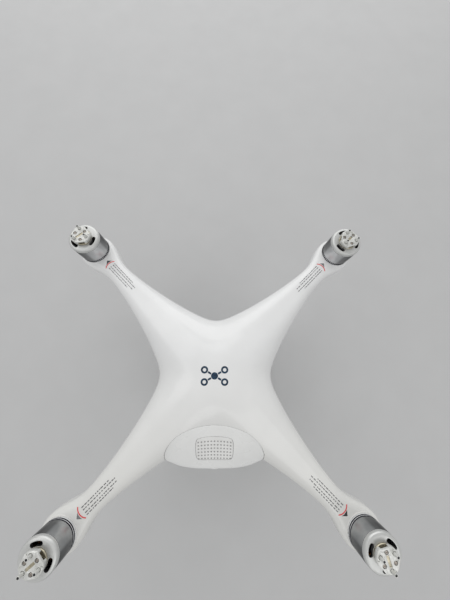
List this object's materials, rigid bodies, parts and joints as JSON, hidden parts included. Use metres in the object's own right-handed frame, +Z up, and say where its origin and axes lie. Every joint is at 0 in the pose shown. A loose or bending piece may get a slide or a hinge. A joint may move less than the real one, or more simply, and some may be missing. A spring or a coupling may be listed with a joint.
{
  "type": "quadcopter camera drone",
  "caption": "X-shaped camera drone with a smooth white hull, turning motor bells, a slide-out battery, landing skids and a stabilised camera underneath; propellers removed.",
  "frame": {"origin": "on the ground under the middle of the machine, the middle of the bounding box's base", "axes": "+Z up, +Y forward towards the camera's view, +X to the machine's right"},
  "size_m": [0.2832, 0.2832, 0.1945],
  "materials": {
    "shell_white": "glossy white moulded shell",
    "inner_black": "matt black glass-filled plastic",
    "board_green": "circuit board",
    "ceramic": "pale ceramic and insulating plastic",
    "bell_metal": "satin turned aluminium",
    "copper": "copper winding on an iron core",
    "mount_silver": "bright satin metal",
    "spring_steel": "spring steel wire",
    "rubber_black": "soft black rubber",
    "light_lens": "clear tinted lamp cover",
    "gimbal_grey": "bead-blasted grey metal",
    "camera_grey": "satin light grey metal",
    "lens_black": "satin black",
    "lens_glass": null,
    "battery_grey": "matt grey battery case",
    "cell_wrap": "foil pouch cells in blue wrap",
    "pad_white": "satin white grip plastic"
  },
  "bodies": {
    "airframe": {"top_shell": "shell_white", "bottom_shell": "shell_white", "core_frame": "inner_black", "battery_terminal": "ceramic", "main_board": "board_green", "gps_module": "ceramic", "vision_sensor_l": "lens_black", "vision_sensor_r": "lens_black", "belly_sensor": "inner_black", "arm_light_fl": "light_lens", "arm_light_fr": "light_lens", "arm_light_rl": "light_lens", "arm_light_rr": "light_lens", "motor_stator_fl": "copper", "motor_stator_fr": "copper", "motor_stator_rl": "copper", "motor_stator_rr": "copper", "landing_gear_l": "shell_white", "landing_gear_r": "shell_white", "foot_pad_front_l": "rubber_black", "foot_pad_front_r": "rubber_black", "foot_pad_rear_l": "rubber_black", "foot_pad_rear_r": "rubber_black", "gimbal_mount": "inner_black", "damper_fl": "rubber_black", "damper_fr": "rubber_black", "damper_rl": "rubber_black", "damper_rr": "rubber_black", "gimbal_base": "gimbal_grey"},
    "yaw_stage": {"yaw_arm": "gimbal_grey"},
    "roll_stage": {"roll_arm": "gimbal_grey"},
    "camera": {"camera_body": "camera_grey", "lens_barrel": "lens_black", "lens_glass": "lens_glass"},
    "battery": {"battery_case": "battery_grey", "battery_cells": "cell_wrap", "battery_end": "shell_white"},
    "upper_latch": {"latch_pad_top": "pad_white"},
    "lower_latch": {"latch_pad_bottom": "pad_white"},
    "power_switch": {"power_button": "pad_white"},
    "rotor_fl": {"bell_fl": "bell_metal", "prop_mount_fl": "mount_silver", "lock_spring_fl": "spring_steel"},
    "lock_fl": {"lock_plate_fl": "mount_silver"},
    "rotor_fr": {"bell_fr": "bell_metal", "prop_mount_fr": "mount_silver", "lock_spring_fr": "spring_steel"},
    "lock_fr": {"lock_plate_fr": "mount_silver"},
    "rotor_rl": {"bell_rl": "bell_metal", "prop_mount_rl": "mount_silver", "lock_spring_rl": "spring_steel"},
    "lock_rl": {"lock_plate_rl": "mount_silver"},
    "rotor_rr": {"bell_rr": "bell_metal", "prop_mount_rr": "mount_silver", "lock_spring_rr": "spring_steel"},
    "lock_rr": {"lock_plate_rr": "mount_silver"}
  },
  "joints": [
    {"name": "rotor_spin_fl", "type": "hinge", "parent": "airframe", "child": "rotor_fl", "pos_m": [-0.12374, 0.12374, 0.184], "axis": [0, 0, 1], "continuous": true},
    {"name": "lock_press_fl", "type": "slide", "parent": "rotor_fl", "child": "lock_fl", "axis": [0, 0, -1], "range_m": [0, 0.002], "stiffness_N_per_m": 1500, "springref_m": -0.002, "deforming": ["lock_spring_fl"]},
    {"name": "rotor_spin_fr", "type": "hinge", "parent": "airframe", "child": "rotor_fr", "pos_m": [0.12374, 0.12374, 0.184], "axis": [0, 0, 1], "continuous": true},
    {"name": "lock_press_fr", "type": "slide", "parent": "rotor_fr", "child": "lock_fr", "axis": [0, 0, -1], "range_m": [0, 0.002], "stiffness_N_per_m": 1500, "springref_m": -0.002, "deforming": ["lock_spring_fr"]},
    {"name": "rotor_spin_rl", "type": "hinge", "parent": "airframe", "child": "rotor_rl", "pos_m": [-0.12374, -0.12374, 0.184], "axis": [0, 0, 1], "continuous": true},
    {"name": "lock_press_rl", "type": "slide", "parent": "rotor_rl", "child": "lock_rl", "axis": [0, 0, -1], "range_m": [0, 0.002], "stiffness_N_per_m": 1500, "springref_m": -0.002, "deforming": ["lock_spring_rl"]},
    {"name": "rotor_spin_rr", "type": "hinge", "parent": "airframe", "child": "rotor_rr", "pos_m": [0.12374, -0.12374, 0.184], "axis": [0, 0, 1], "continuous": true},
    {"name": "lock_press_rr", "type": "slide", "parent": "rotor_rr", "child": "lock_rr", "axis": [0, 0, -1], "range_m": [0, 0.002], "stiffness_N_per_m": 1500, "springref_m": -0.002, "deforming": ["lock_spring_rr"]},
    {"name": "gimbal_yaw", "type": "hinge", "parent": "airframe", "child": "yaw_stage", "pos_m": [0, 0.014, 0.076], "axis": [0, 0, 1], "range_deg": [-30, 30]},
    {"name": "gimbal_roll", "type": "hinge", "parent": "yaw_stage", "child": "roll_stage", "pos_m": [0, -0.016, 0.042], "axis": [0, 1, 0], "range_deg": [-30, 30]},
    {"name": "gimbal_pitch", "type": "hinge", "parent": "roll_stage", "child": "camera", "pos_m": [0, 0.014, 0.042], "axis": [1, 0, 0], "range_deg": [-90, 30]},
    {"name": "battery_slide", "type": "slide", "parent": "airframe", "child": "battery", "axis": [0, -1, 0], "range_m": [0, 0.09]},
    {"name": "upper_latch_press", "type": "slide", "parent": "battery", "child": "upper_latch", "axis": [0, 0, -1], "range_m": [0, 0.0015], "stiffness_N_per_m": 2000, "springref_m": -0.001},
    {"name": "lower_latch_press", "type": "slide", "parent": "battery", "child": "lower_latch", "axis": [0, 0, 1], "range_m": [0, 0.0015], "stiffness_N_per_m": 2000, "springref_m": -0.001},
    {"name": "power_press", "type": "slide", "parent": "battery", "child": "power_switch", "axis": [0, 1, 0], "range_m": [0, 0.0012], "stiffness_N_per_m": 1500, "springref_m": -0.0005}
  ]
}
